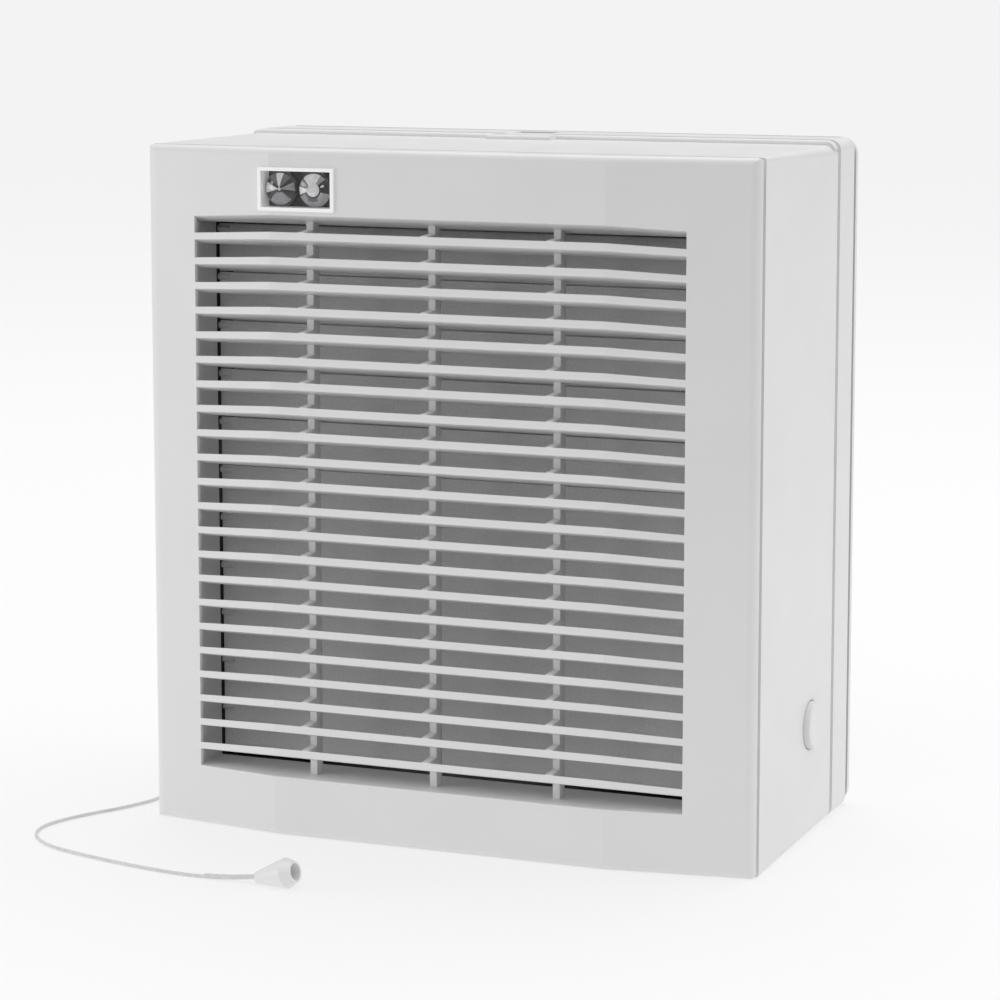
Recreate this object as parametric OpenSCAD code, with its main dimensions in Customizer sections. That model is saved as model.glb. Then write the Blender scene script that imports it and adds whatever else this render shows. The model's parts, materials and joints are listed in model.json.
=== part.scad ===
// Wall or window extractor fan with a louvred cover, a powered shutter and a pull cord.
// X runs to the right, Y to the back and Z up. The origin lies on the floor, under the
// middle of the fan's box. The modules draw from the casing's front plane, at y = 0, and
// in_place() moves them back to the origin.

/* [Body] */
// Width of the cover and casing
body_w = 290; // [284:1:300]
// Height of the wall frame and back plate
body_h = 312; // [311:1:318]
// How far the rear rim stands above the casing's flat top
rim_rise = 2; // [1:0.5:3]
// Depth of the casing
casing_d = 106; // [104:1:110]
// Width of the groove between casing and wall frame
groove_w = 4; // [2:0.5:4]
// Wall thickness of the mouldings
wall = 2.5; // [2:0.1:3]

/* [Cover and grille] */
// How far the cover's flat middle stands in front of its side edges
crown = 10; // [7:0.5:11]
// Depth of the cover at its side edges
cover_edge = 5.5; // [5:0.5:8]
// Middle of the grille, shutter and duct, measured from the middle of the body
grille_x = -4.5; // [-6:0.5:0]
// Width of the grille's opening
opening_w = 232.6; // [230:0.2:234]
// Height of the grille's level sill
sill_z = 27.3; // [26:0.1:29]
// Number of slats
slat_n = 22; // [20:1:22]
// Distance from one slat to the next
slat_pitch = 11.1; // [10.8:0.1:11.2]
// Height of a slat's front face
slat_h = 3.7; // [3:0.1:4.5]
// Downward slope of the slats towards the back, in degrees
slat_tilt = 19; // [14:0.5:21]

/* [Shutter] */
// Number of shutter blades
blade_n = 11; // [10:1:11]
// Thickness of a blade
blade_t = 1.4; // [1.2:0.1:1.6]
// Length of the cranks on the blades
crank_r = 8; // [7:0.5:9]

/* [Fan] */
// Inner radius of the duct
duct_r = 116; // [114:0.5:117]
// Number of impeller blades
vane_n = 7; // [5:1:8]
// Radius of the shaft
shaft_r = 4; // [3:0.5:5]

/* [Wall side] */
// Depth of the wall frame
frame_d = 22; // [20:1:24]
// Thickness of the wall seal
seal_t = 3; // [2:0.5:4]
// Thickness of the back plate
plate_t = 3; // [2.5:0.5:4]
// Length of the duct spigot behind the back plate
spigot_l = 18; // [12:1:30]
// Outer radius of the duct spigot
spigot_r = 121; // [120:0.5:122]

/* [Pull cord] */
// Diameter of the pull cord
cord_d = 1.6; // [1.4:0.1:2]

/* [Hidden] */
BLADES = [for (k = [1:blade_n]) str("shutter_blade_", k < 10 ? "0" : "", k)];

tiny = 0.1;       // overlap that joins pieces of one moulding
half_w = body_w / 2;
cover_h = body_h - rim_rise;
frame_y = casing_d + groove_w;
seal_y = frame_y + frame_d;
plate_y = seal_y + seal_t;
back_y = plate_y + plate_t;
front_y = -crown - cover_edge;
depth = back_y + spigot_l - front_y;

bend_x = 79;      // where the cover's flat middle meets its sloping wings
wing_a = atan(crown / (half_w - bend_x));
cover_gap = 2.5;  // groove between the cover's rear edge and the casing
edge_r = 3;       // rounding along the cover's top and bottom
side_r = 5.5;     // rounding along the cover's sides

slope = tan(slat_tilt);
border_y = -7.5;  // depth at which the slats' heights are given
slat_back_y = -1;
last_gap = 6.5;   // height of the opening under the lowest slat
lintel_z = sill_z + last_gap + slat_n * slat_pitch;
reveal_y = 14.9;  // rear end of the reveal's side walls
grille_l = grille_x - opening_w / 2;
grille_r = grille_x + opening_w / 2;
lip = 1.7;        // how far the face's opening stands to the right of the shutter's
face_l = grille_l + lip;
face_r = grille_r + lip;
rib_x = [for (i = [-1:1]) grille_x - 0.35 + i * 58.7];
rib_w = 3.3;
rib_y = -6.5;

blade_pitch = 2 * slat_pitch;
blade_gap = 0.6;
blade_y = 17;     // front face of the closed blades
blade_top_z = sill_z + 2 + blade_n * blade_pitch;
pivot_drop = 2.2;
pivot_y = blade_y + blade_t / 2;
blade_l = grille_l + 0.6;
blade_r = grille_r - 0.9;
pin_r = 1.5;
pin_play = 0.08;
link_x = grille_r + 7.2;
link_t = 2.5;
crank_pin_r = 1.3;
actuator_z = blade_top_z - pivot_drop - 5.5 * blade_pitch;
actuator_holes = [actuator_z - 24.5, actuator_z + 28.5];

duct_z = 153;
shroud_y = 50;    // front face of the shroud's plate
shroud_t = 2.5;
shroud_end_y = 128;
bell_r = 6;
bracket_y = 47.5;
bracket_t = 2.5;
motor_r = 38;
motor_y = bracket_y + bracket_t;
motor_mid_y = 72;
motor_end_y = 90;
bush_r = 8;
shaft_play = 0.05;
hub_r = 46;
vane_r = 112.5;

window_x = -65.8;
window_z = 292.2;
window_w = 36.8;
window_h = 19.2;
window_frame = 1.6;
jewel_x = [-8.7, 7.5];
jewel_r = 7.8;
holder_y = 7.6;   // front of the lamp holder, behind the face

cap_y = 74.2;
cap_z = 51.4;
cap_r = 10.8;
cap_rise = 3.2;

terminal_x = [for (i = [0:3]) 78.5 + i * 7.7];

lever_x = -131;
lever_z = 66;
wall_holes = [240, 260];   // spacing of the wall screws along X and Z
corner = [134, 14];        // casing screws, from the middle and from top or bottom
clamp_x = [12.5, 31.5];    // posts of the cable clamp
pads = [95, 215];          // heights of the shroud's fixing pads
pad_x = 137;
post_z = [40, 262];        // heights of the shutter's posts
post_x = [-130, 131];

// The cord lies on the floor from the left side wall to its knob in front of the cover.
cord_z = cord_d / 2;
cord_route = [
  [-138, 74.2, 51.4], [-147, 74.2, 51.4], [-150.5, 74.2, 51.2], [-153.5, 74.2, 49.8],
  [-155.6, 74.1, 46.5], [-156.6, 74, 41.5], [-156.9, 74, 35],
  [-157, 73.5, 26], [-157, 72, 16], [-157, 68, 8], [-157, 61, 2.6], [-157, 53, cord_z],
  [-156.8, 44, cord_z], [-156.7, 35, cord_z], [-157, 26, cord_z], [-158.2, 16, cord_z],
  [-161.5, 6, cord_z], [-166, -4, cord_z], [-171.5, -14, cord_z], [-176.8, -25, cord_z],
  [-180.5, -36, cord_z], [-181.5, -47, cord_z], [-178, -58, cord_z], [-170.5, -67, cord_z],
  [-160, -74, cord_z], [-148, -78.5, cord_z], [-134, -82.5, cord_z], [-119, -86.3, cord_z],
  [-104, -89.3, cord_z], [-89, -91.2, cord_z], [-76, -91.6, 0.9], [-66, -91.2, 1.3],
  [-57.5, -90.4, 2], [-51, -89.8, 2.7], [-49, -89.7, 3]];
knob_at = [-51, -89.8, 2.6];
knob_turn = -5;            // heading of the knob's axis about Z
knob_l = 19.5;
knob_end_r = 2.7;
knob_mid_r = 6.6;
knob_mid_l = 15;
knob_pitch = atan((knob_mid_r - knob_end_r) / knob_mid_l);  // it lies on its cone

// ---- helpers ----

module in_place() {
  translate([0, -front_y - depth / 2, 0]) children();
}

// Rounded rectangle standing on z = 0, drawn in X and Z
module rounded(w, h, r) {
  translate([-w / 2 + r, 0]) square([w - 2 * r, h]);
  translate([-w / 2, r]) square([w, h - 2 * r]);
  for (x = [-w / 2 + r, w / 2 - r], z = [r, h - r]) translate([x, z]) circle(r, $fn = 64);
}

// Extrudes an X-Z outline from y0 back to y1
module along_y(y0, y1) {
  translate([0, y1, 0]) rotate([90, 0, 0]) linear_extrude(y1 - y0) children();
}

// Extrudes a Y-Z outline from x0 to x1
module along_x(x0, x1) {
  translate([x0, 0, 0]) rotate([90, 0, 90]) linear_extrude(x1 - x0) children();
}

module block(x0, x1, y0, y1, z0, z1) {
  translate([x0, y0, z0]) cube([x1 - x0, y1 - y0, z1 - z0]);
}

module rod_x(x0, x1, y, z, r) {
  translate([x0, y, z]) rotate([0, 90, 0]) cylinder(h = x1 - x0, r = r, $fn = 48);
}

module rod_y(y0, y1, x, z, r, sides = 48) {
  translate([x, y0, z]) rotate([-90, 0, 0]) cylinder(h = y1 - y0, r = r, $fn = sides);
}

// Turns a radius-and-depth profile about the fan's axis
module about_fan(x = grille_x, z = duct_z) {
  translate([x, 0, z]) rotate([-90, 0, 0]) rotate_extrude($fn = 160) children();
}

// Pan-headed screw with a cross slot, its head towards the front at y
module screw(x, z, y, l, r, head_r, head_h) {
  difference() {
    union() {
      rod_y(y - head_h, y, x, z, head_r);
      rod_y(y - tiny, y + l, x, z, r);
    }
    block(x - head_r * 0.7, x + head_r * 0.7, y - head_h - 1, y - head_h * 0.5, z - 0.4, z + 0.4);
    block(x - 0.4, x + 0.4, y - head_h - 1, y - head_h * 0.5, z - head_r * 0.7, z + head_r * 0.7);
  }
}

// Deep slab with its face at y = 0, rounded along its top and bottom
module slab(x0, x1, z0, z1, round_r) {
  slab_d = 80;
  along_x(x0, x1) {
    translate([round_r, z0]) square([slab_d - round_r, z1 - z0]);
    translate([0, z0 + round_r]) square([slab_d, z1 - z0 - 2 * round_r]);
    for (z = [z0 + round_r, z1 - round_r]) translate([round_r, z]) circle(round_r, $fn = 48);
  }
}

module wing_slab(inset, z0, z1, round_r) {
  translate([bend_x, front_y, 0]) rotate([0, 0, wing_a]) translate([0, inset, 0])
    slab(-half_w - bend_x - 20, half_w - bend_x + 20, z0, z1, round_r + 0.1);
}

// Solid behind the cover's face: a flat middle between two wings that slope back
module panelled(inset, z0, z1, round_r) intersection() {
  translate([0, front_y + inset, 0]) slab(-half_w - 10, half_w + 10, z0, z1, round_r);
  wing_slab(inset, z0, z1, round_r);
  mirror([1, 0, 0]) wing_slab(inset, z0, z1, round_r);
}

// ---- front cover ----

// Plan of the cover, with its side edges rounded into the wings
module cover_plan() {
  cx = half_w - side_r;
  cy = front_y + (cx - bend_x) * tan(wing_a) + side_r / cos(wing_a);
  edge_x = cx + side_r * sin(wing_a);
  translate([0, 0, -1]) linear_extrude(cover_h + 2) {
    polygon([[-edge_x, -cover_gap], [-edge_x, front_y - 5], [edge_x, front_y - 5],
      [edge_x, -cover_gap]]);
    intersection() {
      for (s = [-1, 1]) translate([s * cx, cy]) circle(side_r, $fn = 64);
      translate([-half_w, -20]) square([body_w, 20 - cover_gap]);
    }
  }
}

// Opening under the sloping lintel, over the level sill
module opening_profile() {
  polygon([[-30, sill_z], [30, sill_z], [30, lintel_z - slope * (30 - border_y)],
    [-30, lintel_z + slope * (30 + border_y)]]);
}

module slat_profile(z_low) {
  z_top = z_low + slat_h;
  rear_h = 2.6;
  polygon([[-20, z_top + slope * (20 + border_y)],
    [slat_back_y, z_top - slope * (slat_back_y - border_y)],
    [slat_back_y, z_top - slope * (slat_back_y - border_y) - rear_h],
    [-20, z_low + slope * (20 + border_y)]]);
}

// Web that brings a rib forward onto the slat below it
module gusset_profile(z_low) {
  toe_y = front_y - 0.5;
  toe_z = z_low + slat_h - slope * (toe_y - border_y);
  polygon([[toe_y, toe_z], [rib_y + tiny, toe_z + 0.4],
    [rib_y + tiny, toe_z - slope * (rib_y - toe_y) - 1], [toe_y, toe_z - 1]]);
}

module grille() {
  z_lows = [for (k = [0:slat_n - 1]) sill_z + last_gap + k * slat_pitch];
  skirt = 2;
  lintel_t = 2;
  for (z = z_lows) {
    along_x(grille_l - tiny, face_r + tiny) slat_profile(z);
    for (x = rib_x) along_x(x - rib_w / 2, x + rib_w / 2) gusset_profile(z);
  }
  for (x = rib_x) along_x(x - rib_w / 2, x + rib_w / 2)
    polygon([[rib_y, sill_z - tiny], [slat_back_y + 0.5, sill_z - tiny],
      [slat_back_y + 0.5, lintel_z - slope * (slat_back_y + 0.5 - border_y) + tiny],
      [rib_y, lintel_z - slope * (rib_y - border_y) + tiny]]);
  block(grille_l - skirt, grille_l, -20, reveal_y, sill_z - skirt, lintel_z - slope * 6);
  block(face_r, face_r + skirt, -20, reveal_y - 1.5, sill_z - skirt, lintel_z - slope * 6);
  block(grille_l - skirt, face_r + skirt, -20, reveal_y - 1.5, sill_z - skirt, sill_z);
  along_x(grille_l - skirt, face_r + skirt)
    polygon([[-20, lintel_z + slope * (20 + border_y)],
      [slat_back_y, lintel_z - slope * (slat_back_y - border_y)],
      [slat_back_y, lintel_z - slope * (slat_back_y - border_y) + lintel_t],
      [-20, lintel_z + slope * (20 + border_y) + lintel_t]]);
}

module in_window() {
  translate([window_x, front_y, window_z]) children();
}

module front_cover() color("white") in_place() {
  difference() {
    intersection() {
      panelled(0, 0, cover_h, edge_r);
      cover_plan();
      along_y(-30, -cover_gap) rounded(body_w, cover_h, edge_r);
    }
    intersection() {
      panelled(wall, wall, cover_h - wall, 1);
      block(-half_w + wall, half_w - wall, -30, 5, 0, cover_h);
    }
    along_x(face_l, face_r) opening_profile();
    in_window() window_block(0.6, -5, 8);
  }
  intersection() {
    grille();
    panelled(0, 0, cover_h, edge_r);
  }
  // hooks that snap inside the casing's neck
  for (x = [-90, 90]) {
    block(x - 6, x + 6, -8, 4, 5.6, 7);
    block(x - 6, x + 6, -8, 4, cover_h - 7, cover_h - 5.6);
    block(x - 6, x + 6, -8, -5.6, wall - tiny, 6);
    block(x - 6, x + 6, -8, -5.6, cover_h - 6, cover_h - wall + tiny);
  }
}

// ---- lamps ----

// Block that stays this far inside the window's outline
module window_block(inset, y0, y1) {
  x = window_w / 2 - inset;
  z = window_h / 2 - inset;
  block(-x, x, y0, y1, -z, z);
}

module lamp_bezel() color("white") in_place() in_window() difference() {
  union() {
    along_y(-1, 0) translate([0, -window_h / 2]) rounded(window_w, window_h, 0.8);
    window_block(0.7, -tiny, holder_y);
  }
  window_block(window_frame, -5, 10);
}

module lamp_lens() color("lightcyan", 0.4) in_place() in_window() window_block(window_frame + 0.05, -0.8, 0);

// Faceted dome of a lamp jewel, with flats that narrow towards its tip
module jewel(x) {
  sides = 10;
  stem = 4.6;
  translate([x, holder_y, 0]) rotate([90, 0, 0]) {
    cylinder(h = stem, r = jewel_r, $fn = 48);
    translate([0, 0, stem - tiny]) cylinder(h = 1.6, r1 = jewel_r - 0.2, r2 = jewel_r * 0.72, $fn = sides);
    translate([0, 0, stem + 1.4]) cylinder(h = 1.2, r1 = jewel_r * 0.72, r2 = jewel_r * 0.25, $fn = sides);
  }
}

module lamp_jewel_left() color("silver") in_place() in_window() jewel(jewel_x[0]);

module lamp_jewel_right() color("silver") in_place() in_window() jewel(jewel_x[1]);

module lamp_holder() color("dimgray") in_place() in_window() difference() {
  union() {
    window_block(0.8, holder_y, 10);
    for (x = jewel_x) rod_y(9.9, 24, x, 0, 5.5);
  }
  for (x = jewel_x) rod_y(holder_y - 1, 22, x, 0, 3.6);
}

// ---- casing ----

module casing() color("white") in_place() {
  neck_w = body_w - 2 * wall - 0.4;
  difference() {
    union() {
      difference() {
        union() {
          hull() {
            along_y(0, tiny) rounded(body_w, cover_h, 1.5, $fn = 32);
            along_y(casing_d - tiny, casing_d) rounded(body_w, cover_h, 5, $fn = 32);
          }
          intersection() {
            along_y(90, casing_d) rounded(body_w, body_h, 5);
            union() {
              rim_step(-half_w, half_w, casing_d - 5.5);
              rim_step(grille_x - 15.9, grille_x + 16.4, 92);
            }
          }
        }
        block(-half_w + wall, half_w - wall, -1, casing_d + 1, wall, cover_h - wall);
      }
      neck(neck_w, -3.4, 0.5);
      neck(neck_w + 1, 0.3, 4);
      for (s = [-1, 1]) {
        for (z = [corner[1], cover_h - corner[1]]) {
          rod_y(88, casing_d, s * corner[0], z, 5);
          block(s * 139 - 4.5, s * 139 + 4.5, 88, casing_d, z - 1.5, z + 1.5);
        }
        for (z = pads) block(s * pad_x - 6, s * pad_x + 6, shroud_y + shroud_t, 64, z - 6, z + 6);
      }
    }
    for (s = [-1, 1]) {
      for (z = [corner[1], cover_h - corner[1]]) rod_y(80, casing_d + 1, s * corner[0], z, 2.2);
      for (z = pads) rod_y(shroud_y, 62, s * pad_x, z, 1.4);
      rod_x(s * 143 - 5, s * 143 + 5, cap_y, cap_z, cap_r - 1.8);
      rod_x(s * half_w - 1, s * half_w + 1, cap_y, cap_z, cap_r + 0.45);
    }
    // notch for the wall frame's tongue
    block(grille_x - 12.9, grille_x + 13.4, 95.5, casing_d + 1, cover_h - 8, body_h + 1);
  }
}

// Raised rim with a rounded front edge
module rim_step(x0, x1, y0) {
  round_r = 1.6;
  along_x(x0, x1) {
    translate([y0 + round_r, cover_h - 2]) square([casing_d - y0 - round_r, body_h - cover_h + 2]);
    translate([y0, cover_h - 2]) square([round_r + tiny, body_h - cover_h + 2 - round_r]);
    translate([y0 + round_r, body_h - round_r]) circle(round_r, $fn = 32);
  }
}

// Thin ring inside the groove that carries the cover
module neck(w, y0, y1) {
  inset = (body_w - w) / 2;
  neck_t = 2.4;
  difference() {
    block(-w / 2, w / 2, y0, y1, inset, cover_h - inset);
    block(-w / 2 + neck_t, w / 2 - neck_t, y0 - 1, y1 + 1, inset + neck_t, cover_h - inset - neck_t);
  }
}

// Round button with a shank and a snap ring, drawn along X for the right side
module side_plug(bore_r) {
  round_r = 1;
  difference() {
    rotate([0, 90, 0]) rotate_extrude($fn = 96) difference() {
      union() {
        translate([0, half_w - 1]) square([cap_r - round_r, cap_rise + 1]);
        translate([0, half_w - 1]) square([cap_r, cap_rise + 1 - round_r]);
        translate([cap_r - round_r, half_w + cap_rise - round_r]) circle(round_r, $fn = 48);
        translate([0, half_w - 8]) square([cap_r - 2, 7.1]);
        translate([0, half_w - wall - 2.2]) square([cap_r - 1.2, 2]);
      }
      translate([-1, half_w - 9]) square([cap_r - 3.2, 7]);
    }
    if (bore_r > 0) rod_x(half_w - 10, half_w + 5, 0, 0, bore_r);
  }
}

module side_cap() color("whitesmoke") in_place()
  translate([0, cap_y, cap_z]) side_plug(0);

module cord_outlet() color("whitesmoke") in_place()
  translate([0, cap_y, cap_z]) mirror([1, 0, 0]) side_plug(cord_d / 2 - 0.05);

// ---- shroud, motor and impeller ----

// Half-section of the bell mouth and the duct behind it
module bell_profile() {
  translate([duct_r + bell_r, shroud_y + bell_r]) intersection() {
    difference() {
      circle(bell_r, $fn = 96);
      circle(bell_r - shroud_t, $fn = 96);
    }
    translate([-bell_r - 1, -bell_r - 1]) square(bell_r + 1);
  }
  translate([duct_r, shroud_y + bell_r]) square([shroud_t, shroud_end_y - shroud_y - bell_r]);
  translate([duct_r + bell_r, shroud_y]) square([2, shroud_t]);
}

module fan_shroud() color("gainsboro") in_place() difference() {
  union() {
    difference() {
      translate([0, 0, 3]) along_y(shroud_y, shroud_y + shroud_t) rounded(body_w - 6, cover_h - 6, 1);
      rod_y(shroud_y - 1, shroud_y + 5, grille_x, duct_z, duct_r + bell_r + 2, 160);
    }
    about_fan() bell_profile();
    for (x = post_x, z = post_z) rod_y(34, shroud_y + 1, x, z, 4);
    for (a = [45:90:315]) bracket_boss(a, 3.6, shroud_y + 1, 62);
  }
  for (x = post_x, z = post_z) rod_y(33, 48, x, z, 1.4);
  for (z = actuator_holes) rod_y(shroud_y - 1, shroud_y + 5, 134.5, z, 1.4);
  for (a = [45:90:315]) bracket_boss(a, 1.4, shroud_y - 1, 60);
  for (s = [-1, 1]) {
    for (z = pads) rod_y(shroud_y - 1, shroud_y + 5, s * pad_x, z, 1.9);
    for (z = [corner[1], cover_h - corner[1]])
      block(s * 133 - 15, s * 133 + 15, shroud_y - 1, shroud_y + 5, z - 13, z + 13);
  }
}

module bracket_boss(a, r, y0, y1) {
  boss_r = duct_r + bell_r + 6;
  rod_y(y0, y1, grille_x + boss_r * cos(a), duct_z + boss_r * sin(a), r);
}

module motor_bracket() color("silver") in_place() difference() {
  union() {
    rod_y(bracket_y, bracket_y + bracket_t, grille_x, duct_z, 41, 96);
    for (a = [45:90:315]) translate([grille_x, 0, duct_z]) rotate([0, -a, 0]) {
      block(30, 128, bracket_y, bracket_y + bracket_t, -6, 6);
      block(38, 118, bracket_y - 2.2, bracket_y + tiny, -0.9, 0.9);
      rod_y(bracket_y, bracket_y + bracket_t, 128, 0, 6);
    }
  }
  rod_y(bracket_y - 3, bracket_y + 5, grille_x, duct_z, 12);
  for (a = [45:90:315]) bracket_boss(a, 1.9, bracket_y - 1, bracket_y + 5);
  for (a = [0:90:270]) motor_hole(a, 1.9, bracket_y - 1, bracket_y + 5);
}

module motor_hole(a, r, y0, y1) {
  rod_y(y0, y1, grille_x + 30 * cos(a), duct_z + 30 * sin(a), r);
}

module motor_can() color("silver") in_place() difference() {
  about_fan() {
    translate([11, motor_y]) square([motor_r - 11, 2.2]);
    translate([motor_r - 2.2, motor_y]) square([2.2, motor_mid_y - motor_y]);
    translate([bush_r, motor_y]) square([3, 9]);
  }
  for (a = [0:90:270]) motor_hole(a, 1.4, motor_y - 1, motor_y + 5);
  for (a = [20:40:340]) translate([grille_x, 0, duct_z]) rotate([0, -a, 0])
    block(motor_r - 5, motor_r + 1, motor_y + 5, motor_mid_y - 9, -3.5, 3.5);
}

module motor_cap() color("silver") in_place() about_fan() {
  translate([motor_r - 2.2, motor_mid_y]) square([2.2, motor_end_y - motor_mid_y]);
  translate([11 - tiny, motor_end_y - 2.2]) square([motor_r - 11, 2.2]);
  translate([bush_r, motor_end_y - 9]) square([3, 9]);
}

module stator_core() color("gray") in_place() difference() {
  rod_y(62, 80, grille_x, duct_z, motor_r - 2.2, 96);
  rod_y(61, 81, grille_x, duct_z, 24.2, 96);
  for (a = [0:45:315]) translate([grille_x, 0, duct_z]) rotate([0, -a, 0]) {
    block(25.8, 31.5, 61, 81, -5, 5);
    block(23, 27, 61, 81, -1, 1);
  }
}

module windings() color("peru") in_place() for (y = [59.4, 82.6]) about_fan()
  intersection() {
    translate([29.3, y]) circle(3.4, $fn = 48);
    translate([20, y < 70 ? 50 : 80]) square([20, 12]);
  }

module bush(y0) {
  about_fan() translate([shaft_r + shaft_play, y0]) square([bush_r - shaft_r - shaft_play, 8]);
}

module bearing_front() color("goldenrod") in_place() bush(motor_y + 0.6);

module bearing_rear() color("goldenrod") in_place() bush(motor_end_y - 8.6);

module rotor() color("lightsteelblue") in_place() difference() {
  rod_y(61.5, 80.5, grille_x, duct_z, 23.7, 96);
  rod_y(60, 82, grille_x, duct_z, shaft_r);
}

module shaft() color("silver") in_place() {
  rod_y(48.5, 122.5, grille_x, duct_z, shaft_r);
}

// Cambered vane with rounded tip corners, its span along X and the fan's axis along Z
module vane() {
  camber_r = 75;
  intersection() {
    rotate([37, 0, 0]) intersection() {
      translate([30, 0, -camber_r + 2.5]) rotate([0, 90, 0]) difference() {
        cylinder(h = 90, r = camber_r + 1.1, $fn = 240);
        translate([0, 0, -1]) cylinder(h = 92, r = camber_r - 1.1, $fn = 240);
      }
      translate([0, 0, -12]) linear_extrude(24) {
        polygon([[30, -17], [44, -17], [99, -26], [108, -26], [108, 25], [40, 18], [30, 18]]);
        translate([100, -20]) circle(6, $fn = 48);
        translate([100, -20]) square([14, 38]);
        translate([107, -19]) circle(7, $fn = 48);
        translate([107, 18]) circle(7, $fn = 48);
      }
    }
    difference() {
      cylinder(h = 60, r = vane_r, center = true, $fn = 240);
      cylinder(h = 62, r = hub_r - 1, center = true, $fn = 160);
    }
  }
}

// Half-section of the hub's cup with a rounded rear corner
module hub_outline(r, y0, round_r) {
  round_y = 112;
  translate([0, y0]) square([r, round_y - y0]);
  translate([0, y0]) square([hub_r - 5, round_y + round_r - y0]);
  translate([hub_r - 5, round_y]) circle(round_r, $fn = 64);
}

module impeller() color("lightgray") in_place() difference() {
  union() {
    about_fan() {
      difference() {
        hub_outline(hub_r, 84, 5);
        hub_outline(hub_r - wall, 80, 5 - wall);
      }
      translate([0, 94]) square([11, 22]);
    }
    translate([grille_x, 100, duct_z]) rotate([-90, 0, 0])
      for (a = [0:360 / vane_n:359]) rotate([0, 0, a]) vane();
  }
  rod_y(90, 125, grille_x, duct_z, shaft_r);
}

module hub_washer() color("silver") in_place() difference() {
  rod_y(117, 118.2, grille_x, duct_z, 9);
  rod_y(116, 120, grille_x, duct_z, shaft_r);
}

module hub_nut() color("silver") in_place() difference() {
  rod_y(118.2, 122, grille_x, duct_z, 7.5, 6);
  rod_y(118, 123, grille_x, duct_z, shaft_r);
}

// ---- shutter ----

function pivot_z(k) = blade_top_z - pivot_drop - k * blade_pitch;

// Closed blade with its pivot pins, the crank on its right end and the crank's pin
module shutter_blade(k) color("darkgray") in_place() {
  z = pivot_z(k);
  arm_x = grille_r + 3.4;
  block(blade_l, blade_r, blade_y, blade_y + blade_t, z + pivot_drop - blade_pitch + blade_gap,
    z + pivot_drop);
  // lip that closes behind the next blade's upper edge
  rear = blade_y + blade_t;
  low = z + pivot_drop - blade_pitch + blade_gap;
  along_x(blade_l + 6, blade_r - 6) polygon([[rear - tiny, low + 4], [rear - tiny, low],
    [rear + 0.3, low], [rear + 0.3, low - 1.8], [rear + 1.2, low - 1.8], [rear + 1.2, low + 1]]);
  rod_x(grille_l - 2.8, blade_l + 5, pivot_y, z, pin_r);
  rod_x(blade_r - 5, arm_x + 0.5, pivot_y, z, pin_r);
  rod_x(arm_x, arm_x + 2.6, pivot_y, z, 3);
  rod_x(arm_x, arm_x + 2.6, pivot_y + crank_r, z, 2.6);
  block(arm_x, arm_x + 2.6, pivot_y, pivot_y + crank_r, z - 2, z + 2);
  rod_x(arm_x + 2.5, link_x + link_t + 0.6, pivot_y + crank_r, z, crank_pin_r);
}

module link_bar() color("gainsboro") in_place() {
  y = pivot_y + crank_r;
  z0 = pivot_z(blade_n - 1) - 5;
  z1 = pivot_z(0) + 5;
  difference() {
    block(link_x, link_x + link_t, y - 3.2, y + 3.2, z0, z1);
    for (k = [0:blade_n - 1])
      rod_x(link_x - 1, link_x + link_t + 1, y, pivot_z(k), crank_pin_r + pin_play);
    rod_x(link_x - 1, link_x + link_t + 1, y, actuator_z, crank_pin_r + pin_play);
  }
}

module shutter_frame() color("gainsboro") in_place() {
  y0 = 15.2;
  y1 = 34;
  z0 = sill_z - 4;
  z1 = blade_top_z + 6;
  side_t = 2.6;
  difference() {
    union() {
      block(grille_l - side_t, grille_l, y0, y1, z0, z1);
      block(grille_r, grille_r + side_t, y0, y1, z0, z1);
      block(grille_l - side_t, grille_r + side_t, y0, y1, z0, z0 + 2);
      block(grille_l - side_t, grille_r + side_t, y0, y1, z1 - 2, z1);
      for (z = post_z) {
        block(post_x[0] - 5, grille_l - side_t + tiny, y1 - 2, y1, z - 6, z + 6);
        block(grille_r + side_t - tiny, post_x[1] + 5, y1 - 2, y1, z - 6, z + 6);
      }
    }
    for (k = [0:blade_n - 1]) {
      rod_x(grille_l - 5, grille_l + 1, pivot_y, pivot_z(k), pin_r + pin_play);
      rod_x(grille_r - 1, grille_r + 5, pivot_y, pivot_z(k), pin_r + pin_play);
    }
    for (x = post_x, z = post_z) rod_y(y1 - 4, y1 + 2, x, z, 1.9);
  }
}

module shutter_actuator() color("dimgray") in_place() difference() {
  union() {
    block(128, 141.5, 13, 46, actuator_z - 20, actuator_z + 24);
    block(127, 142, 46, shroud_y, actuator_z - 29, actuator_z + 33);
  }
  rod_x(126, 133, pivot_y, actuator_z, 2.2 + pin_play);
  for (z = actuator_holes) rod_y(45, 51, 134.5, z, 1.9);
}

module actuator_crank() color("white") in_place() {
  arm_x = link_x + link_t + 1;
  rod_x(arm_x, 132.5, pivot_y, actuator_z, 2.2);
  rod_x(arm_x, arm_x + 2.6, pivot_y, actuator_z, 4);
  rod_x(arm_x, arm_x + 2.6, pivot_y + crank_r, actuator_z, 2.8);
  block(arm_x, arm_x + 2.6, pivot_y, pivot_y + crank_r, actuator_z - 2.2, actuator_z + 2.2);
  rod_x(link_x - 0.4, arm_x + 0.1, pivot_y + crank_r, actuator_z, crank_pin_r);
}

// ---- pull switch and wiring ----

module pull_switch() color("dimgray") in_place() {
  half_d = 12.5;
  block(-127, -108, cap_y - half_d, cap_y + half_d, 42, 74);
  for (y = [cap_y - half_d, cap_y + 10]) block(-half_w + wall, -127 + tiny, y, y + 2.5, 44, 72);
  rod_y(cap_y - half_d + 1, cap_y + half_d - 1, lever_x, lever_z, pin_r);
}

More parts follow.
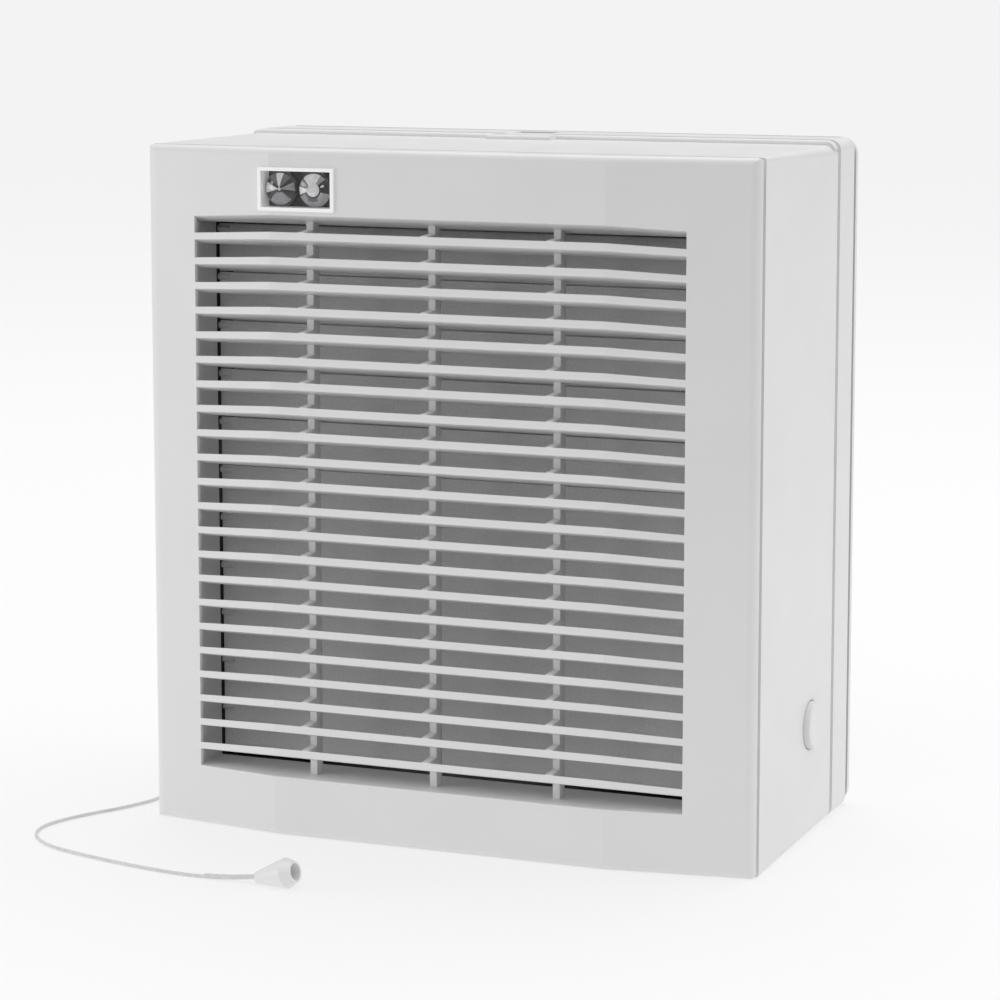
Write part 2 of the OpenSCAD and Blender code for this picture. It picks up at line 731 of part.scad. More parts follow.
module switch_lever() color("white") in_place() difference() {
  union() {
    rod_y(cap_y - 7, cap_y + 7, lever_x, lever_z, 3.4);
    block(lever_x - 1.3, lever_x + 1.3, cap_y - 5, cap_y + 5, 46, lever_z);
    rod_x(lever_x - 3, lever_x, cap_y, cap_z, 3);
  }
  rod_y(cap_y - 8, cap_y + 8, lever_x, lever_z, pin_r + pin_play);
  rod_x(lever_x - 4, lever_x + 2, cap_y, cap_z, 1);
}

module terminal_block() color("ivory") in_place() difference() {
  block(74, 106, shroud_y + shroud_t, 70, 278, 292);
  for (x = terminal_x) {
    rod_y(62, 71, x, 285, 2.5);
    translate([x, 61, 279]) cylinder(h = 14, r = 1.8, $fn = 32);
    rod_y(56, 63, x, 285, 1.3);
  }
}

module terminal_cover() color("white") in_place() difference() {
  block(70, 110, shroud_y + shroud_t, 82, 274, 296);
  block(72, 108, shroud_y, 80, 276, 294);
  block(76, 104, shroud_y, 78, 290, 300);
}

// Saddle that holds the supply cable under two posts of the wall frame
module cable_clamp() color("ivory") in_place() difference() {
  block(8, 36, 114, 124, 296, 300);
  rod_y(112, 126, 22, 301, 3.5);
  for (x = clamp_x) translate([x, 119, 294]) cylinder(h = 8, r = 1.9, $fn = 32);
}

// ---- wall side ----

module wall_frame() color("white") in_place() {
  neck_w = body_w - 2 * wall - 0.4;
  slot_x = grille_x - 0.8;
  difference() {
    union() {
      difference() {
        along_y(frame_y, seal_y) rounded(body_w, body_h, 5);
        block(-half_w + 3, half_w - 3, frame_y - 1, seal_y - 3, 3, body_h - 3);
      }
      // ring that shows in the groove and locates the casing
      difference() {
        block(-neck_w / 2, neck_w / 2, casing_d - 4, frame_y + 1, wall + 0.2, cover_h - wall - 0.2);
        block(-neck_w / 2 + 2.4, neck_w / 2 - 2.4, 90, frame_y + 5, wall + 2.6, cover_h - wall - 2.6);
      }
      // tongue in the casing's notch
      block(grille_x - 12.1, grille_x + 12.6, 96.3, frame_y + 1, cover_h - 5, body_h);
      for (s = [-1, 1], z = [corner[1], cover_h - corner[1]])
        rod_y(casing_d, seal_y, s * corner[0], z, 5.5);
      for (x = clamp_x) translate([x, 119, 300]) cylinder(h = body_h - 301, r = 3.5, $fn = 48);
    }
    for (x = clamp_x) translate([x, 119, 299]) cylinder(h = 9, r = 1.4, $fn = 32);
    rod_y(frame_y, seal_y + 1, grille_x, duct_z, spigot_r + 2.5, 160);
    for (s = [-1, 1], z = [corner[1], cover_h - corner[1]]) {
      rod_y(casing_d - 10, seal_y - 5, s * corner[0], z, 1.6);
      // clearance in the ring for the casing's screw posts
      block(s * 139 - 11, s * 139 + 11, casing_d - 5, casing_d, z - 6, z + 6);
    }
    wall_hole(2.5, seal_y - 5, seal_y + 1);
    // slot for a surface-run cable
    block(slot_x - 9.6, slot_x + 9.6, frame_y + 4, frame_y + 14, body_h - 6, body_h + 1);
  }
}

module wall_hole(r, y0, y1) {
  mid_z = body_h / 2;
  for (x = [-0.5, 0.5], z = [-0.5, 0.5])
    rod_y(y0, y1, x * wall_holes[0], mid_z + z * wall_holes[1], r);
}

module wall_seal() color("black") in_place() difference() {
  inset = 2.5;
  translate([0, 0, inset]) along_y(seal_y, plate_y) rounded(body_w - 2 * inset, body_h - 2 * inset, 5);
  rod_y(seal_y - 1, plate_y + 1, grille_x, duct_z, spigot_r + 2.5, 160);
  wall_hole(3, seal_y - 1, plate_y + 1);
}

module back_plate() color("whitesmoke") in_place() difference() {
  union() {
    difference() {
      along_y(plate_y, back_y) rounded(body_w, body_h, 8);
      rod_y(plate_y - 1, back_y + 1, grille_x, duct_z, spigot_r - 1, 160);
    }
    about_fan() translate([spigot_r - wall, plate_y - 9]) square([wall, 9 + plate_t + spigot_l]);
  }
  wall_hole(2.5, plate_y - 1, back_y + 1);
}

module rear_guard() color("silver") in_place() {
  wire_r = 1.1;
  guard_y = 134;
  rings = [22, 40, 58, 76, 94, 111];
  for (r = rings) about_fan() translate([r, guard_y]) circle(wire_r, $fn = 24);
  for (a = [0:60:300]) translate([grille_x, guard_y + 1.5, duct_z]) rotate([0, a, 0])
    translate([21, 0, 0]) rotate([0, 90, 0]) cylinder(h = spigot_r - wall - 20.5, r = wire_r, $fn = 24);
}

// ---- screws ----

module casing_screws() color("silver") in_place()
  for (s = [-1, 1], z = [corner[1], cover_h - corner[1]])
    screw(s * corner[0], z, 88, 32, 1.6, 3.6, 2.4);

module shroud_screws() color("silver") in_place()
  for (s = [-1, 1], z = pads) screw(s * pad_x, z, shroud_y, 10, 1.4, 3.2, 2);

module shutter_screws() color("silver") in_place()
  for (x = post_x, z = post_z) screw(x, z, 32, 13, 1.4, 3.2, 2);

module bracket_screws() color("silver") in_place() {
  boss_r = duct_r + bell_r + 6;
  for (a = [45:90:315])
    screw(grille_x + boss_r * cos(a), duct_z + boss_r * sin(a), bracket_y, 11, 1.4, 3.4, 2.2);
}

module motor_screws() color("silver") in_place() for (a = [0:90:270])
  screw(grille_x + 30 * cos(a), duct_z + 30 * sin(a), bracket_y, 4.6, 1.4, 3.2, 2);

module actuator_screws() color("silver") in_place()
  for (z = actuator_holes) screw(134.5, z, 46, 6.4, 1.4, 3.2, 2);

// Their heads face the back
module terminal_screws() color("goldenrod") in_place() for (x = terminal_x)
  translate([0, 68, 0]) mirror([0, 1, 0]) screw(x, 285, 0, 10, 1.3, 2.2, 1.2);

module clamp_screws() color("silver") in_place() for (x = clamp_x)
  translate([x, 119, 296]) rotate([90, 0, 0]) screw(0, 0, 0, 10, 1.4, 3, 1.8);

// ---- pull cord ----

function unit(v) = v / norm(v);
function route_at(i) = cord_route[max(0, min(i, len(cord_route) - 1))];

// Point on a smooth curve through the route, kept from dipping below the floor
function cord_at(i, t) = let (
    a = route_at(i - 1), b = route_at(i), c = route_at(i + 1), d = route_at(i + 2),
    p = (2 * b + (c - a) * t + (2 * a - 5 * b + 4 * c - d) * t * t + (3 * b - a - 3 * c + d) * t * t * t) / 2)
  [p[0], p[1], max(p[2], cord_z)];

cord_points = [for (i = [0:len(cord_route) - 2], t = [0, 0.5]) cord_at(i, t), route_at(len(cord_route))];
cord_last = len(cord_points) - 1;
cord_up = [-1, 1, 1];      // never in line with the cord, so its rings don't twist

function cord_ring(i) = let (
    d = unit(cord_points[min(i + 1, cord_last)] - cord_points[max(i - 1, 0)]),
    side = unit(cross(d, cord_up)), up = cross(side, d))
  [for (a = [22.5:45:359]) cord_points[i] + cord_d / 2 * (cos(a) * side + sin(a) * up)];

module pull_cord() color("white") in_place() {
  walls = [for (i = [0:cord_last - 1], j = [0:7]) let (k = (j + 1) % 8, a = 8 * i + j, b = 8 * i + k)
    each [[a, b, b + 8], [a, b + 8, a + 8]]];
  ends = [[for (j = [7:-1:0]) j], [for (j = [0:7]) 8 * cord_last + j]];
  polyhedron([for (i = [0:cord_last]) each cord_ring(i)], concat(walls, ends));
}

// Hollow cone with a bevelled rim, lying on its side with its small end to the left
module pull_knob() color("white") in_place()
  translate(knob_at) rotate([0, 90 - knob_pitch, knob_turn]) rotate_extrude($fn = 96)
    difference() {
      polygon([[0, 0], [knob_end_r, 0], [knob_mid_r, knob_mid_l], [knob_mid_r - 0.2, knob_l - 3.7],
        [knob_mid_r - 1.9, knob_l], [0, knob_l]]);
      polygon([[-1, 8], [2.4, 8], [knob_mid_r - 2.9, knob_l + 0.1], [-1, knob_l + 0.1]]);
    }

// ---- nodes ----

front_cover();
lamp_bezel();
lamp_lens();
lamp_jewel_left();
lamp_jewel_right();
lamp_holder();
casing();
side_cap();
cord_outlet();
fan_shroud();
motor_bracket();
motor_can();
motor_cap();
stator_core();
windings();
bearing_front();
bearing_rear();
rotor();
shaft();
impeller();
hub_washer();
hub_nut();
shutter_frame();
link_bar();
shutter_actuator();
actuator_crank();
pull_switch();
switch_lever();
terminal_block();
terminal_cover();
cable_clamp();
wall_frame();
wall_seal();
back_plate();
rear_guard();
casing_screws();
shroud_screws();
shutter_screws();
bracket_screws();
motor_screws();
terminal_screws();
clamp_screws();
actuator_screws();
pull_cord();
pull_knob();
for (k = [0:blade_n - 1]) shutter_blade(k);
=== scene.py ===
import json
import math

import bmesh
import bpy
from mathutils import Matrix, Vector


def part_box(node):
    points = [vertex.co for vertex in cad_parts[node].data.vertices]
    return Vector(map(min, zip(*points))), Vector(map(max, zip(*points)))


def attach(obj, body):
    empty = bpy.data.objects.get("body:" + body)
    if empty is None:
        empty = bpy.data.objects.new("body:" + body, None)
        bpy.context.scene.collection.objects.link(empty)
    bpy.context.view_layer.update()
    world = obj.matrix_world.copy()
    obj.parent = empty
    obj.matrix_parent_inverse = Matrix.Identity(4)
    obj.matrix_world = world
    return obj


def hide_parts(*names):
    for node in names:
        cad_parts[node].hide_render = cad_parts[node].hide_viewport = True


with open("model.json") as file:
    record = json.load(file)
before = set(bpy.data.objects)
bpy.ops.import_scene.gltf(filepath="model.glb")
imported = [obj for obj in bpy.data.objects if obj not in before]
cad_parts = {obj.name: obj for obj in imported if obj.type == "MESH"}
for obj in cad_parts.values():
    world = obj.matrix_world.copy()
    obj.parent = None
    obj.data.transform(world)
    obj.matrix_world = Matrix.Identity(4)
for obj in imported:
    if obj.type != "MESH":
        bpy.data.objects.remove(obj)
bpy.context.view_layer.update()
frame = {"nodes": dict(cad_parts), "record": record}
record = frame["record"]
cad = frame["nodes"]


def add_object(name, data):
    made = bpy.data.objects.new(name, data)
    bpy.context.scene.collection.objects.link(made)
    return made


# ---- camera ----

LOOK_AT = Vector((0.0241, -0.07025, 0.1929))
CAMERA_DISTANCE = 1.448
CAMERA_AZIMUTH = math.radians(22.22)
CAMERA_ELEVATION = math.radians(7.92)
CAMERA_LENS = 119.3      # mm
CAMERA_SHIFT = (0.001, -0.08)
CLIP_END = 300


def add_camera():
    back = Vector((math.sin(CAMERA_AZIMUTH) * math.cos(CAMERA_ELEVATION),
                   -math.cos(CAMERA_AZIMUTH) * math.cos(CAMERA_ELEVATION),
                   math.sin(CAMERA_ELEVATION)))
    data = bpy.data.cameras.new("camera")
    data.lens = CAMERA_LENS
    data.shift_x, data.shift_y = CAMERA_SHIFT
    data.clip_end = CLIP_END
    camera = add_object("camera", data)
    camera.location = LOOK_AT + back * CAMERA_DISTANCE
    camera.rotation_mode = "QUATERNION"
    camera.rotation_quaternion = (-back).to_track_quat("-Z", "Y")
    bpy.context.scene.camera = camera


# ---- materials ----


class Material:
    """A node material whose detail is added in object coordinates, which are metres in the frame."""

    def __init__(self, name, colour, roughness, metallic=0.0, coat=0.0, specular=0.5):
        self.data = bpy.data.materials.new(name)
        self.data.use_nodes = True
        self.nodes = self.data.node_tree.nodes
        self.links = self.data.node_tree.links
        self.shader = self.nodes["Principled BSDF"]
        self.set("Base Color", (*colour, 1))
        self.set("Roughness", roughness)
        self.set("Metallic", metallic)
        self.set("Coat Weight", coat)
        self.set("Specular IOR Level", specular)
        self.normal = None
        self.place = self.nodes.new("ShaderNodeTexCoord").outputs["Object"]

    def set(self, socket, value):
        self.shader.inputs[socket].default_value = value

    def link(self, output, socket):
        self.links.new(output, self.shader.inputs[socket])

    def stretched(self, scale):
        """Object coordinates, drawn out along an axis where its scale is below 1."""
        mapping = self.nodes.new("ShaderNodeMapping")
        mapping.inputs["Scale"].default_value = scale
        self.links.new(self.place, mapping.inputs["Vector"])
        return mapping.outputs["Vector"]

    def noise(self, scale, detail, stretch=(1, 1, 1)):
        noise = self.nodes.new("ShaderNodeTexNoise")
        noise.inputs["Scale"].default_value = scale
        noise.inputs["Detail"].default_value = detail
        self.links.new(self.stretched(stretch), noise.inputs["Vector"])
        return noise.outputs["Fac"]

    def between(self, factor, low, high):
        """Noise, which lies mostly between 0.3 and 0.7, spread over another range."""
        spread = self.nodes.new("ShaderNodeMapRange")
        spread.inputs["From Min"].default_value = 0.3
        spread.inputs["From Max"].default_value = 0.7
        spread.inputs["To Min"].default_value = low
        spread.inputs["To Max"].default_value = high
        self.links.new(factor, spread.inputs["Value"])
        return spread.outputs["Result"]

    def mottle(self, colour, other, scale, detail=3.0):
        """Colour that drifts between two close tones."""
        mix = self.nodes.new("ShaderNodeMix")
        mix.data_type = "RGBA"
        mix.inputs["A"].default_value = (*colour, 1)
        mix.inputs["B"].default_value = (*other, 1)
        self.links.new(self.between(self.noise(scale, detail), 0, 1), mix.inputs["Factor"])
        self.link(mix.outputs["Result"], "Base Color")
        return self

    def worn(self, low, high, scale):
        """Roughness that drifts between two values."""
        self.link(self.between(self.noise(scale, 3.0), low, high), "Roughness")
        return self

    def rounded(self, radius):
        """Edges that shade as if they had this radius."""
        bevel = self.nodes.new("ShaderNodeBevel")
        bevel.samples = 6
        bevel.inputs["Radius"].default_value = radius
        self.normal = bevel.outputs["Normal"]
        self.link(self.normal, "Normal")
        return self

    def bump(self, height, strength, distance):
        """Relief laid over the normal that the material already has."""
        bump = self.nodes.new("ShaderNodeBump")
        bump.inputs["Strength"].default_value = strength
        bump.inputs["Distance"].default_value = distance
        self.links.new(height, bump.inputs["Height"])
        if self.normal is not None:
            self.links.new(self.normal, bump.inputs["Normal"])
        self.normal = bump.outputs["Normal"]
        self.link(self.normal, "Normal")
        return self

    def grain(self, scale, strength, distance, stretch=(1, 1, 1)):
        return self.bump(self.noise(scale, 2.0, stretch), strength, distance)

    def waves(self, scale, strength, distance, axis):
        """Fine parallel lines, such as stacked sheets or wound wire."""
        wave = self.nodes.new("ShaderNodeTexWave")
        wave.bands_direction = axis
        wave.inputs["Scale"].default_value = scale
        wave.inputs["Distortion"].default_value = 0.4
        self.links.new(self.place, wave.inputs["Vector"])
        return self.bump(wave.outputs["Fac"], strength, distance)


def darker(colour, share):
    return tuple(channel * share for channel in colour)


def shell_plastic(name, colour, rough, round_radius):
    """Moulded white ABS: faint drift in tone, a fine sparked texture and a slow orange peel."""
    m = Material(name, colour, rough)
    m.mottle(colour, darker(colour, 0.975), 18)
    m.worn(rough - 0.04, rough + 0.05, 45)
    m.rounded(round_radius)
    m.grain(1300, 0.3, 0.00006)
    return m.grain(140, 0.05, 0.0002)


def dull_plastic(name, colour):
    """Moulded plastic of the inner parts: finer grain and more drift in tone than the shell's."""
    m = Material(name, colour, 0.55)
    m.mottle(colour, darker(colour, 0.9), 40)
    m.worn(0.49, 0.63, 90)
    m.rounded(0.0003)
    return m.grain(2200, 0.25, 0.00006)


def grained_plastic(name, colour):
    """White ABS with a coarser leather-like grain than the cover's."""
    m = Material(name, colour, 0.5)
    m.mottle(colour, darker(colour, 0.9), 900)
    m.worn(0.45, 0.6, 90)
    m.rounded(0.0003)
    return m.grain(1000, 0.7, 0.0002)


def plated_steel(name, colour, rough):
    """Metal with a drift in tone and roughness, and a grain drawn out along Y."""
    m = Material(name, colour, rough, metallic=1.0)
    m.mottle(colour, darker(colour, 0.82), 120, 5.0)
    m.worn(rough - 0.08, rough + 0.14, 300)
    m.rounded(0.0002)
    return m.grain(1800, 0.15, 0.00003, (1, 0.15, 1))


def laminations(name, colour):
    """Stack of thin steel sheets, their edges as lines across the motor's axis."""
    m = Material(name, colour, 0.42, metallic=0.9)
    m.mottle(colour, darker(colour, 0.7), 200, 4.0)
    return m.waves(340, 0.5, 0.0002, "Y")


def wound_wire(name):
    """Enamelled copper wire, lacquered over its turns."""
    m = Material(name, (0.46, 0.17, 0.06), 0.3, metallic=0.4, coat=0.6)
    m.mottle((0.50, 0.20, 0.07), (0.33, 0.11, 0.04), 500, 4.0)
    return m.waves(900, 0.8, 0.0003, "DIAGONAL")


def foam_seal(name):
    """Black foam with open cells."""
    m = Material(name, (0.035, 0.035, 0.037), 0.85)
    m.mottle((0.045, 0.045, 0.047), (0.022, 0.022, 0.024), 600)
    return m.grain(1500, 0.8, 0.0003)


def clear_plastic(name):
    """Thin clear cover: mostly see-through, with a polished surface over it."""
    m = Material(name, (0.50, 0.51, 0.52), 0.03)
    m.set("Alpha", 0.04)
    m.worn(0.01, 0.05, 60)
    return m.grain(220, 0.02, 0.0001)


def jewel_plastic(name, colour, metallic=0.0):
    """Polished plastic of a lamp jewel, or of one tone of its facets, where that tone is a painted
    reflection or highlight.
    """
    m = Material(name, colour, 0.12, metallic=metallic, coat=0.5)
    m.mottle(colour, darker(colour, 0.75), 500)
    m.worn(0.06, 0.2, 300)
    return m


def braid(name):
    """White braided cord: fine slanting strands with a soft, uneven surface."""
    m = Material(name, (0.80, 0.80, 0.79), 0.7)
    m.set("Sheen Weight", 0.25)
    m.mottle((0.83, 0.83, 0.82), (0.72, 0.72, 0.71), 700)
    m.waves(1500, 0.5, 0.0002, "DIAGONAL")
    return m.grain(5200, 0.5, 0.0001)


FLOOR_TONE = (0.35, 0.35, 0.35)
FLOOR_GLOW = 0.60
FLOOR_GLOW_FAR = 0.07
FALLOFF_START = 0.36     # metres towards the front right
FALLOFF_END = 1.5
FALLOFF_TURN = math.radians(-40)


def floor_paper(name):
    """Pale paper that glows, so that the fan's shadow on it stays faint."""
    m = Material(name, FLOOR_TONE, 0.9, specular=0.1)
    m.mottle(FLOOR_TONE, darker(FLOOR_TONE, 0.995), 3)
    m.set("Emission Color", (1, 1, 1, 1))
    # The glow falls off towards the front right.
    turned = m.nodes.new("ShaderNodeMapping")
    turned.inputs["Rotation"].default_value = (0, 0, FALLOFF_TURN)
    split = m.nodes.new("ShaderNodeSeparateXYZ")
    m.links.new(m.place, turned.inputs["Vector"])
    m.links.new(turned.outputs["Vector"], split.inputs["Vector"])
    falloff = m.nodes.new("ShaderNodeMapRange")
    falloff.interpolation_type = "SMOOTHSTEP"
    falloff.inputs["From Min"].default_value = -FALLOFF_END
    falloff.inputs["From Max"].default_value = -FALLOFF_START
    falloff.inputs["To Min"].default_value = FLOOR_GLOW_FAR
    falloff.inputs["To Max"].default_value = FLOOR_GLOW
    m.links.new(split.outputs["Y"], falloff.inputs["Value"])
    m.link(falloff.outputs["Result"], "Emission Strength")
    return m.grain(40, 0.02, 0.0005)


WHITE = (0.80, 0.80, 0.80)
MATERIALS = {
    "white_plastic": shell_plastic("white_plastic", WHITE, 0.42, 0.0005),
    "white_gloss": shell_plastic("white_gloss", (0.84, 0.84, 0.84), 0.22, 0.0003),
    "clear_plastic": clear_plastic("clear_plastic"),
    "jewel": jewel_plastic("jewel", (0.10, 0.10, 0.11), 0.5),
    "dark_plastic": dull_plastic("dark_plastic", (0.03, 0.03, 0.032)),
    "grey_plastic": dull_plastic("grey_plastic", (0.52, 0.53, 0.54)),
    "blade_plastic": grained_plastic("blade_plastic", (0.78, 0.78, 0.78)),
    "motor_steel": plated_steel("motor_steel", (0.46, 0.47, 0.49), 0.4),
    "bright_steel": plated_steel("bright_steel", (0.66, 0.67, 0.69), 0.25),
    "copper_enamel": wound_wire("copper_enamel"),
    "sintered_bronze": plated_steel("sintered_bronze", (0.52, 0.36, 0.18), 0.45),
    "brass": plated_steel("brass", (0.72, 0.56, 0.28), 0.25),
    "seal_rubber": foam_seal("seal_rubber"),
    "cord": braid("cord"),
}
LAMINATED = laminations("laminated_steel", (0.40, 0.41, 0.43))
PAINTED_GLOW_WHITE = shell_plastic("white_with_painted_glow", (0.94, 0.94, 0.94), 0.25, 0.0003)
# The lamps' frame is brighter than the face: besides a paler white it has a slight glow, painted
# light that also brightens its shaded inner walls.
PAINTED_GLOW_WHITE.set("Emission Color", (1, 1, 1, 1))
PAINTED_GLOW_WHITE.set("Emission Strength", 0.13)
# Tones of the jewels' facets: painted reflections, from a painted dark reflection to a painted
# highlight.
PAINTED_FACET_REFLECTIONS = {
    "black": jewel_plastic("painted_reflection_black", (0.008, 0.008, 0.009)),
    "dark": jewel_plastic("painted_reflection_dark", (0.13, 0.13, 0.135)),
    "mid": jewel_plastic("painted_reflection_mid", (0.33, 0.33, 0.34)),
    "light": jewel_plastic("painted_reflection_light", (0.82, 0.82, 0.83)),
}


def paint(piece, material):
    piece.data.materials.clear()
    piece.data.materials.append(material.data)


def paint_frame():
    slots = {part["node"]: part["material_slot"] for part in record["subparts"]}
    for name, piece in cad.items():
        paint(piece, MATERIALS[slots[name]])
    for name in ("stator_core", "rotor"):
        paint(cad[name], LAMINATED)
    # The lamps' frame gets the white with the painted glow.
    paint(cad["lamp_bezel"], PAINTED_GLOW_WHITE)


# ---- pieces ----


CORD_DIAMETER = 0.0016
TAIL_DIAMETER = CORD_DIAMETER * 0.8
TAIL_OFFSET = Vector((0, 0.0013, 0.0004))     # from the cord beside it
LYING = 0.51     # share of the diameter under which a point's height counts as on the floor
# The CAD model's own route for the cord, from that model's origin. in_frame() moves it.
CORD_ROUTE = [
    (-0.138, 0.0742, 0.0514), (-0.147, 0.0742, 0.0514), (-0.1505, 0.0742, 0.0512),
    (-0.1535, 0.0742, 0.0498), (-0.1556, 0.0741, 0.0465), (-0.1566, 0.074, 0.0415),
    (-0.1569, 0.074, 0.035), (-0.157, 0.0735, 0.026), (-0.157, 0.072, 0.016),
    (-0.157, 0.068, 0.008), (-0.157, 0.061, 0.0026), (-0.157, 0.053, 0.0008),
    (-0.1568, 0.044, 0.0008), (-0.1567, 0.035, 0.0008), (-0.157, 0.026, 0.0008),
    (-0.1582, 0.016, 0.0008), (-0.1615, 0.006, 0.0008), (-0.166, -0.004, 0.0008),
    (-0.1715, -0.014, 0.0008), (-0.1768, -0.025, 0.0008), (-0.1805, -0.036, 0.0008),
    (-0.1815, -0.047, 0.0008), (-0.178, -0.058, 0.0008), (-0.1705, -0.067, 0.0008),
    (-0.16, -0.074, 0.0008), (-0.148, -0.0785, 0.0008), (-0.134, -0.0825, 0.0008),
    (-0.119, -0.0863, 0.0008), (-0.104, -0.0893, 0.0008), (-0.089, -0.0912, 0.0008),
    (-0.076, -0.0916, 0.0009), (-0.066, -0.0912, 0.0013), (-0.0575, -0.0904, 0.002),
    (-0.051, -0.0898, 0.0027), (-0.049, -0.0897, 0.003)]
CASE_FRONT_Y = -0.07025


def in_frame(point):
    return Vector(point) + Vector((0, CASE_FRONT_Y, 0))


def smooth(bezier, before, here, after, floor_z):
    """Even handles, kept level where the curve lies on the floor."""
    back, onward = (here - before).length, (after - here).length
    along = (after - before) / (3 * (back + onward))
    if here.z < floor_z:
        along.z = 0
    bezier.co = here
    bezier.handle_left_type = bezier.handle_right_type = "FREE"
    bezier.handle_left = here - along * back
    bezier.handle_right = here + along * onward


def add_curve(name, points, diameter):
    data = bpy.data.curves.new(name, "CURVE")
    data.dimensions = "3D"
    data.bevel_depth = diameter / 2
    data.bevel_resolution = 5
    data.resolution_u = 6
    data.use_fill_caps = True
    spline = data.splines.new("BEZIER")
    spline.bezier_points.add(len(points) - 1)
    for bezier, before, here, after in zip(spline.bezier_points, points[:1] + points, points,
                                           points[1:] + points[-1:]):
        smooth(bezier, before, here, after, diameter * LYING)
    return add_object(name, data)


def add_cord():
    points = [in_frame(p) for p in CORD_ROUTE]
    cord = add_curve("braided_cord", points, CORD_DIAMETER)
    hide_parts("pull_cord")
    tail = add_curve("cord_tail", [p + TAIL_OFFSET for p in points[-5:-1]], TAIL_DIAMETER)
    for piece in (cord, tail):
        paint(piece, MATERIALS["cord"])
        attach(piece, "housing")


JEWEL_TURNS = 72     # steps of five degrees
JEWEL_RINGS = 10
JEWEL_RIM = 0.0031     # from the CAD jewel's front to the dome's rim
JEWEL_HEIGHT = 0.0024
JEWEL_SKIRT = 0.003
JEWEL_RELIEF = 0.0003     # how far the lighter facets stand out
# Painted reflection tones of the jewels' facets, darkest first.
REFLECTION_TONES = ["black", "dark", "mid", "light"]


def facet_at(cuts, angle, share):
    """The last cut that covers this place, as an index into the painted reflection tones, or 0 for
    the black ground.
    """
    found = 0
    for start, end, inner, outer, tone in cuts:
        if (angle - start) % 360 < end - start and inner <= share < outer:
            found = REFLECTION_TONES.index(tone)
    return found


def cut_jewel(name, centre, radius, cuts):
    """Dome on a polar grid, its wedges raised from a black ground, and the tone of each face, which
    is a painted reflection.
    """
    step = 360 / JEWEL_TURNS
    bm = bmesh.new()

    def at(turn, share, y):
        angle = math.radians(turn * step)
        return bm.verts.new(centre + Vector((radius * share * math.cos(angle), y,
                                             radius * share * math.sin(angle))))

    def dome(turn, ring):
        share = ring / JEWEL_RINGS
        raised = all(facet_at(cuts, (turn + round_by) * step, share + out_by / JEWEL_RINGS)
                     for round_by in (-0.5, 0.5) for out_by in (-0.5, 0.5))
        y = -JEWEL_HEIGHT * math.sqrt(max(0.0, 1 - share * share))
        return at(turn, share, y - JEWEL_RELIEF if raised else y)

    rings = [[dome(turn, ring) for turn in range(JEWEL_TURNS)] for ring in range(1, JEWEL_RINGS + 1)]
    skirt = [at(turn, 1, JEWEL_SKIRT) for turn in range(JEWEL_TURNS)]
    tip = bm.verts.new(centre + Vector((0, -JEWEL_HEIGHT, 0)))
    reflection_tones = []
    for turn in range(JEWEL_TURNS):
        on = (turn + 1) % JEWEL_TURNS
        bm.faces.new((tip, rings[0][on], rings[0][turn]))
        for inner, outer in zip(rings, rings[1:]):
            bm.faces.new((inner[turn], inner[on], outer[on], outer[turn]))
        bm.faces.new((rings[-1][turn], rings[-1][on], skirt[on], skirt[turn]))
        reflection_tones += [facet_at(cuts, (turn + 0.5) * step, (ring + 0.5) / JEWEL_RINGS)
                  for ring in range(JEWEL_RINGS)]
        reflection_tones.append(0)
    bm.faces.new(skirt)
    reflection_tones.append(0)
    bmesh.ops.recalc_face_normals(bm, faces=bm.faces)
    mesh = bpy.data.meshes.new(name)
    bm.to_mesh(mesh)
    bm.free()
    return mesh, reflection_tones


# Wedges: start and end in degrees, inner and outer as shares of the radius, and tone. The tones are
# painted reflections and highlights on the facets, and the small light wedge in the right jewel's
# black patch is a painted glint.
LEFT_FACETS_AND_REFLECTIONS = [
    (75, 105, 0, 0.9, "light"), (45, 75, 0.2, 0.9, "dark"), (105, 135, 0.2, 0.9, "dark"),
    (155, 195, 0.1, 0.9, "light"), (355, 385, 0.1, 0.9, "mid"), (225, 320, 0.2, 0.9, "mid"),
    (0, 360, 0, 0.15, "light")]
RIGHT_FACETS_AND_REFLECTIONS = [
    (0, 360, 0, 0.4, "light"), (60, 135, 0.3, 0.9, "light"), (140, 165, 0.3, 0.9, "mid"),
    (170, 200, 0.3, 0.9, "light"), (40, 60, 0.4, 0.9, "mid"), (15, 25, 0.5, 0.7, "light"),
    (205, 345, 0.5, 1, "mid"), (240, 300, 0.5, 0.7, "dark")]


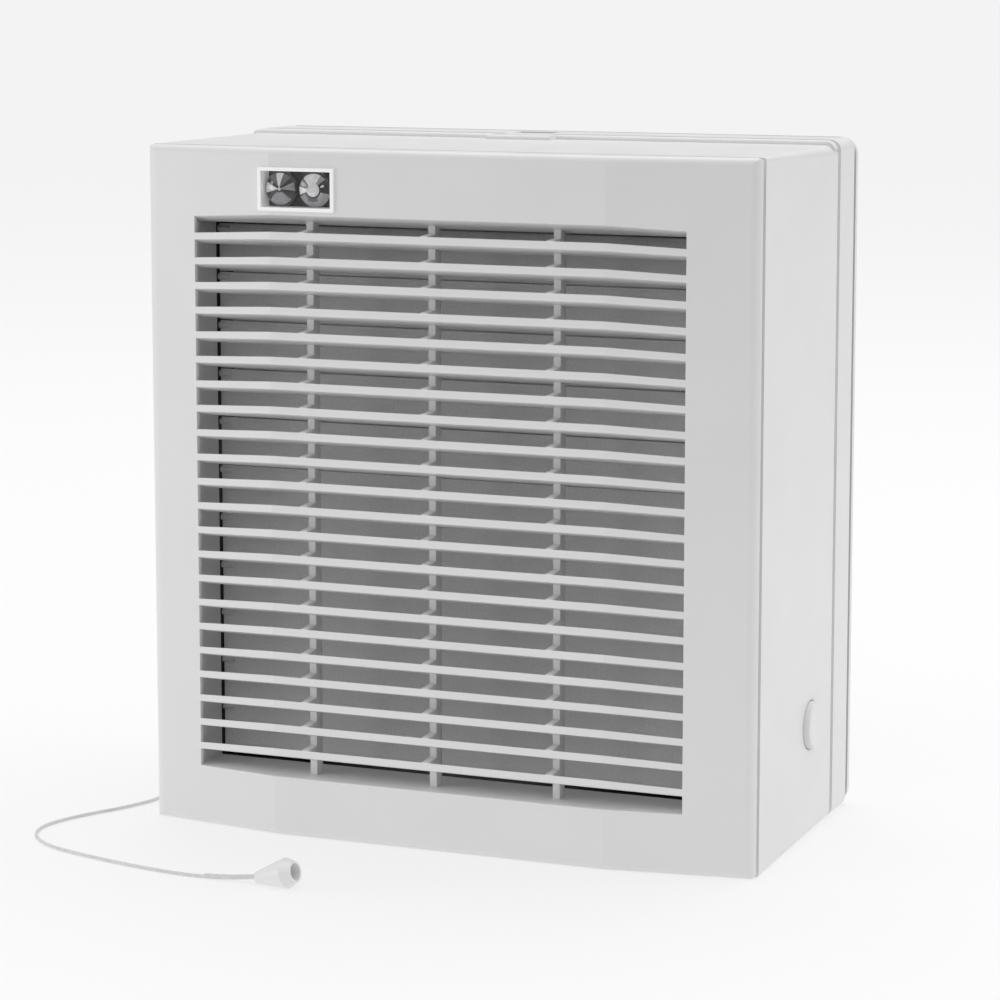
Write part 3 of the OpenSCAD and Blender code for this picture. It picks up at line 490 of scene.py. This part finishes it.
def add_jewels():
    for side, cuts in (("left", LEFT_FACETS_AND_REFLECTIONS), ("right", RIGHT_FACETS_AND_REFLECTIONS)):
        node = "lamp_jewel_" + side
        low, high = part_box(node)
        radius = (high.z - low.z) / 2
        centre = Vector(((low.x + high.x) / 2, low.y + JEWEL_RIM, (low.z + high.z) / 2))
        mesh, reflection_tones = cut_jewel("cut_" + side, centre, radius, cuts)
        for tone in REFLECTION_TONES:
            mesh.materials.append(PAINTED_FACET_REFLECTIONS[tone].data)
        mesh.polygons.foreach_set("material_index", reflection_tones)
        piece = add_object("cut_jewel_" + side, mesh)
        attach(piece, "housing")
        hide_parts(node)


# ---- stage ----


FLOOR_SIZE = 150
FLOOR_Z = -0.0002


def add_floor():
    bm = bmesh.new()
    bmesh.ops.create_grid(bm, x_segments=2, y_segments=2, size=FLOOR_SIZE)
    mesh = bpy.data.meshes.new("floor")
    bm.to_mesh(mesh)
    bm.free()
    floor = add_object("floor", mesh)
    floor.location.z = FLOOR_Z
    paint(floor, floor_paper("floor_paper"))


LIT_PLACE = Vector((0, -0.05, 0.16))
# Name, place, width and height, and power in watts.
LIGHTS = [
    ("left", (-2.4, -1.6, 0.45), (1.4, 0.8), 15),
    ("right", (2.6, 0.5, 1.2), (1.6, 1.6), 14),
    ("over_rear", (0, 0.9, 2.3), (2.4, 1.6), 14),
]


def add_light(name, place, size, power):
    data = bpy.data.lights.new(name, "AREA")
    data.shape = "RECTANGLE"
    data.size, data.size_y = size
    data.energy = power
    light = add_object(name, data)
    light.location = place
    light.rotation_mode = "QUATERNION"
    light.rotation_quaternion = (LIT_PLACE - Vector(place)).to_track_quat("-Z", "Y")


HORIZON_GLOW = 0.10
ZENITH_GLOW = 1.18


def add_world():
    """A pale dome that's brighter overhead than at the horizon."""
    world = bpy.data.worlds.new("studio")
    world.use_nodes = True
    nodes, links = world.node_tree.nodes, world.node_tree.links
    split = nodes.new("ShaderNodeSeparateXYZ")
    ramp = nodes.new("ShaderNodeMapRange")
    ramp.inputs["To Min"].default_value = HORIZON_GLOW
    ramp.inputs["To Max"].default_value = ZENITH_GLOW
    links.new(nodes.new("ShaderNodeTexCoord").outputs["Generated"], split.inputs["Vector"])
    links.new(split.outputs["Z"], ramp.inputs["Value"])
    links.new(ramp.outputs["Result"], nodes["Background"].inputs["Strength"])
    nodes["Background"].inputs["Color"].default_value = (1, 1, 1, 1)
    bpy.context.scene.world = world


add_camera()
paint_frame()
add_cord()
add_jewels()
add_floor()
add_world()
for light in LIGHTS:
    add_light(*light)
bpy.context.scene.view_settings.view_transform = "Standard"
